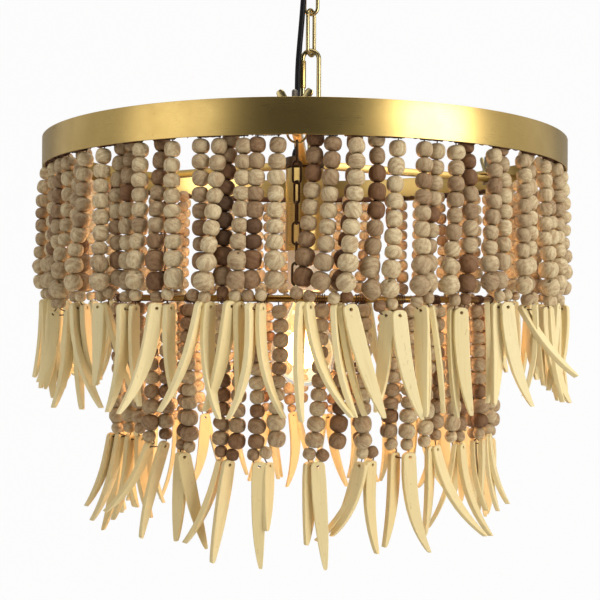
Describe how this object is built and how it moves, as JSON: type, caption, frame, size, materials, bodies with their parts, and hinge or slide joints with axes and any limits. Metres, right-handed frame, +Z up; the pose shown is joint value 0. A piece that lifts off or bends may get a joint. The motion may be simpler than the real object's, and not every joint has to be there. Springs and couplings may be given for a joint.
{
  "type": "beaded chandelier",
  "caption": "Round two-tier hanging light: a tall brass ring band and a lower ring carry swags of wooden beads with flat pointed tusks round a clear bulb, on a short chain.",
  "frame": {"origin": "on the ceiling plane, on the line of the chain, at the middle of the canopy and crossbar", "axes": "+Z up, -Y to the picture's viewer, +X to the picture's right"},
  "size_m": [0.6254, 0.6276, 0.7137],
  "materials": {
    "satin_brass": "satin, lightly aged",
    "dark_bronze": "dark oxidised",
    "black_rubber": "matte",
    "porcelain": "glazed",
    "cap_metal": "bright",
    "clear_glass": "clear",
    "zinc_steel": "plated",
    "bead_wood": "matte, weathered"
  },
  "bodies": {
    "root": {"crossbar": "zinc_steel", "ceiling_canopy": "satin_brass", "canopy_loop": "satin_brass", "canopy_cord_grip": "satin_brass", "power_cord": "black_rubber"},
    "collar": {"collar_ring": "satin_brass"},
    "upper_link": {"chain_link_upper": "satin_brass"},
    "lower_link": {"chain_link_lower": "satin_brass"},
    "hanger": {"hanger_link": "satin_brass"},
    "sleeve": {"hanger_sleeve": "satin_brass"},
    "fixture": {"hub_eye": "satin_brass", "hub_disc": "satin_brass", "hub_cord_grip": "satin_brass", "socket_cup": "satin_brass", "lamp_holder": "porcelain", "ring_band": "satin_brass", "string_rod": "dark_bronze", "arm_front": "satin_brass", "arm_right": "satin_brass", "arm_left": "satin_brass", "arm_bolt_front": "zinc_steel", "arm_bolt_right": "zinc_steel", "arm_bolt_left": "zinc_steel"},
    "bulb": {"bulb_base": "cap_metal", "bulb_glass": "clear_glass"},
    "nut_front": {"wing_nut_front": "satin_brass"},
    "nut_right": {"wing_nut_right": "satin_brass"},
    "nut_left": {"wing_nut_left": "satin_brass"},
    "tier_front": {"tier_chain_front": "dark_bronze"},
    "tier_right": {"tier_chain_right": "dark_bronze"},
    "tier_left": {"tier_chain_left": "dark_bronze"},
    "lower_tier": {"lower_ring": "satin_brass"},
    "upper_01": {"upper_swag_01": "bead_wood"},
    "upper_02": {"upper_swag_02": "bead_wood"},
    "upper_03": {"upper_swag_03": "bead_wood"},
    "upper_04": {"upper_swag_04": "bead_wood"},
    "upper_05": {"upper_swag_05": "bead_wood"},
    "upper_06": {"upper_swag_06": "bead_wood"},
    "upper_07": {"upper_swag_07": "bead_wood"},
    "upper_08": {"upper_swag_08": "bead_wood"},
    "upper_09": {"upper_swag_09": "bead_wood"},
    "upper_10": {"upper_swag_10": "bead_wood"},
    "upper_11": {"upper_swag_11": "bead_wood"},
    "upper_12": {"upper_swag_12": "bead_wood"},
    "upper_13": {"upper_swag_13": "bead_wood"},
    "upper_14": {"upper_swag_14": "bead_wood"},
    "upper_15": {"upper_swag_15": "bead_wood"},
    "lower_01": {"lower_swag_01": "bead_wood"},
    "lower_02": {"lower_swag_02": "bead_wood"},
    "lower_03": {"lower_swag_03": "bead_wood"},
    "lower_04": {"lower_swag_04": "bead_wood"},
    "lower_05": {"lower_swag_05": "bead_wood"},
    "lower_06": {"lower_swag_06": "bead_wood"},
    "lower_07": {"lower_swag_07": "bead_wood"},
    "lower_08": {"lower_swag_08": "bead_wood"},
    "lower_09": {"lower_swag_09": "bead_wood"},
    "lower_10": {"lower_swag_10": "bead_wood"}
  },
  "joints": [
    {"name": "upper_link_swing", "type": "hinge", "parent": "root", "child": "upper_link", "pos_m": [0, 0, -0.05585], "axis": [1, 0, 0], "range_deg": [-12, 12], "deforming": ["power_cord"]},
    {"name": "lower_link_swing", "type": "hinge", "parent": "upper_link", "child": "lower_link", "pos_m": [0, 0, -0.10535], "axis": [0.5, 0.866, 0], "range_deg": [-12, 12], "deforming": ["power_cord"]},
    {"name": "hanger_swing", "type": "hinge", "parent": "lower_link", "child": "hanger", "pos_m": [0, 0, -0.1543], "axis": [1, 0, 0], "range_deg": [-12, 12], "deforming": ["power_cord"]},
    {"name": "fixture_swing", "type": "hinge", "parent": "hanger", "child": "fixture", "pos_m": [0, 0, -0.2324], "axis": [0, 1, 0], "range_deg": [-12, 12], "deforming": ["power_cord"]},
    {"name": "sleeve_slide", "type": "slide", "parent": "hanger", "child": "sleeve", "axis": [0, 0, -1], "range_m": [0, 0.016]},
    {"name": "collar_turn", "type": "hinge", "parent": "root", "child": "collar", "pos_m": [0, 0, -0.0328], "axis": [0, 0, 1], "continuous": true},
    {"name": "bulb_turn", "type": "hinge", "parent": "fixture", "child": "bulb", "pos_m": [-0.0065, 0, -0.428], "axis": [0, 0, 1], "continuous": true},
    {"name": "nut_front_turn", "type": "hinge", "parent": "fixture", "child": "nut_front", "pos_m": [-0.0161, -0.27483, -0.2788], "axis": [0, 0, 1], "continuous": true},
    {"name": "nut_right_turn", "type": "hinge", "parent": "fixture", "child": "nut_right", "pos_m": [0.23631, 0.1291, -0.2788], "axis": [0, 0, 1], "continuous": true},
    {"name": "nut_left_turn", "type": "hinge", "parent": "fixture", "child": "nut_left", "pos_m": [-0.23971, 0.14573, -0.2788], "axis": [0, 0, 1], "continuous": true},
    {"name": "tier_front_swing", "type": "hinge", "parent": "fixture", "child": "tier_front", "pos_m": [-0.01421, -0.22087, -0.29227], "axis": [0, 1, 0], "range_deg": [-5, 5]},
    {"name": "tier_right_swing", "type": "hinge", "parent": "fixture", "child": "tier_right", "pos_m": [0.18863, 0.10375, -0.29227], "axis": [0, 1, 0], "range_deg": [-5, 5]},
    {"name": "tier_left_swing", "type": "hinge", "parent": "fixture", "child": "tier_left", "pos_m": [-0.19392, 0.11711, -0.29227], "axis": [0, 1, 0], "range_deg": [-5, 5]},
    {"name": "lower_ring_level", "type": "hinge", "parent": "tier_front", "child": "lower_tier", "pos_m": [-0.01421, -0.22087, -0.45247], "axis": [0, 1, 0], "range_deg": [-5, 5]},
    {"name": "upper_01_swing", "type": "hinge", "parent": "fixture", "child": "upper_01", "pos_m": [-0.0039, -0.29761, -0.3034], "axis": [-1, -0.0087, 0], "range_deg": [-5, 20]},
    {"name": "upper_02_swing", "type": "hinge", "parent": "fixture", "child": "upper_02", "pos_m": [0.11692, -0.27082, -0.3034], "axis": [-0.91, -0.4147, 0], "range_deg": [-5, 20]},
    {"name": "upper_03_swing", "type": "hinge", "parent": "fixture", "child": "upper_03", "pos_m": [0.2164, -0.19721, -0.3034], "axis": [-0.6626, -0.749, 0], "range_deg": [-5, 20]},
    {"name": "upper_04_swing", "type": "hinge", "parent": "fixture", "child": "upper_04", "pos_m": [0.27734, -0.0895, -0.3034], "axis": [-0.3007, -0.9537, 0], "range_deg": [-5, 20]},
    {"name": "upper_05_swing", "type": "hinge", "parent": "fixture", "child": "upper_05", "pos_m": [0.2892, 0.03369, -0.3034], "axis": [0.1132, -0.9936, 0], "range_deg": [-5, 20]},
    {"name": "upper_06_swing", "type": "hinge", "parent": "fixture", "child": "upper_06", "pos_m": [0.24993, 0.15105, -0.3034], "axis": [0.5075, -0.8616, 0], "range_deg": [-5, 20]},
    {"name": "upper_07_swing", "type": "hinge", "parent": "fixture", "child": "upper_07", "pos_m": [0.16633, 0.24229, -0.3034], "axis": [0.8141, -0.5807, 0], "range_deg": [-5, 20]},
    {"name": "upper_08_swing", "type": "hinge", "parent": "fixture", "child": "upper_08", "pos_m": [0.05284, 0.29164, -0.3034], "axis": [0.9799, -0.1994, 0], "range_deg": [-5, 20]},
    {"name": "upper_09_swing", "type": "hinge", "parent": "fixture", "child": "upper_09", "pos_m": [-0.07092, 0.29056, -0.3034], "axis": [0.9763, 0.2164, 0], "range_deg": [-5, 20]},
    {"name": "upper_10_swing", "type": "hinge", "parent": "fixture", "child": "upper_10", "pos_m": [-0.18353, 0.23924, -0.3034], "axis": [0.8039, 0.5948, 0], "range_deg": [-5, 20]},
    {"name": "upper_11_swing", "type": "hinge", "parent": "fixture", "child": "upper_11", "pos_m": [-0.26553, 0.14655, -0.3034], "axis": [0.4924, 0.8704, 0], "range_deg": [-5, 20]},
    {"name": "upper_12_swing", "type": "hinge", "parent": "fixture", "child": "upper_12", "pos_m": [-0.30275, 0.02852, -0.3034], "axis": [0.0958, 0.9954, 0], "range_deg": [-5, 20]},
    {"name": "upper_13_swing", "type": "hinge", "parent": "fixture", "child": "upper_13", "pos_m": [-0.28874, -0.09444, -0.3034], "axis": [-0.3173, 0.9483, 0], "range_deg": [-5, 20]},
    {"name": "upper_14_swing", "type": "hinge", "parent": "fixture", "child": "upper_14", "pos_m": [-0.22593, -0.20107, -0.3034], "axis": [-0.6756, 0.7373, 0], "range_deg": [-5, 20]},
    {"name": "upper_15_swing", "type": "hinge", "parent": "fixture", "child": "upper_15", "pos_m": [-0.12517, -0.27293, -0.3034], "axis": [-0.9171, 0.3987, 0], "range_deg": [-5, 20]},
    {"name": "lower_01_swing", "type": "hinge", "parent": "lower_tier", "child": "lower_01", "pos_m": [0.00692, -0.21938, -0.45247], "axis": [-0.9981, -0.061, 0], "range_deg": [-12, 12]},
    {"name": "lower_02_swing", "type": "hinge", "parent": "lower_tier", "child": "lower_02", "pos_m": [0.1333, -0.16959, -0.45247], "axis": [-0.7716, -0.6361, 0], "range_deg": [-12, 12]},
    {"name": "lower_03_swing", "type": "hinge", "parent": "lower_tier", "child": "lower_03", "pos_m": [0.20629, -0.05503, -0.45247], "axis": [-0.2504, -0.9681, 0], "range_deg": [-12, 12]},
    {"name": "lower_04_swing", "type": "hinge", "parent": "lower_tier", "child": "lower_04", "pos_m": [0.198, 0.08055, -0.45247], "axis": [0.3665, -0.9304, 0], "range_deg": [-12, 12]},
    {"name": "lower_05_swing", "type": "hinge", "parent": "lower_tier", "child": "lower_05", "pos_m": [0.11159, 0.18537, -0.45247], "axis": [0.8434, -0.5373, 0], "range_deg": [-12, 12]},
    {"name": "lower_06_swing", "type": "hinge", "parent": "lower_tier", "child": "lower_06", "pos_m": [-0.01992, 0.21938, -0.45247], "axis": [0.9981, 0.061, 0], "range_deg": [-12, 12]},
    {"name": "lower_07_swing", "type": "hinge", "parent": "lower_tier", "child": "lower_07", "pos_m": [-0.1463, 0.16959, -0.45247], "axis": [0.7716, 0.6361, 0], "range_deg": [-12, 12]},
    {"name": "lower_08_swing", "type": "hinge", "parent": "lower_tier", "child": "lower_08", "pos_m": [-0.21929, 0.05503, -0.45247], "axis": [0.2504, 0.9681, 0], "range_deg": [-12, 12]},
    {"name": "lower_09_swing", "type": "hinge", "parent": "lower_tier", "child": "lower_09", "pos_m": [-0.211, -0.08055, -0.45247], "axis": [-0.3665, 0.9304, 0], "range_deg": [-12, 12]},
    {"name": "lower_10_swing", "type": "hinge", "parent": "lower_tier", "child": "lower_10", "pos_m": [-0.12459, -0.18537, -0.45247], "axis": [-0.8434, 0.5373, 0], "range_deg": [-12, 12]}
  ],
  "couplings": [
    {"joint": "tier_right_swing", "follows": "tier_front_swing", "ratio": 1},
    {"joint": "tier_left_swing", "follows": "tier_front_swing", "ratio": 1},
    {"joint": "lower_ring_level", "follows": "tier_front_swing", "ratio": -1}
  ]
}
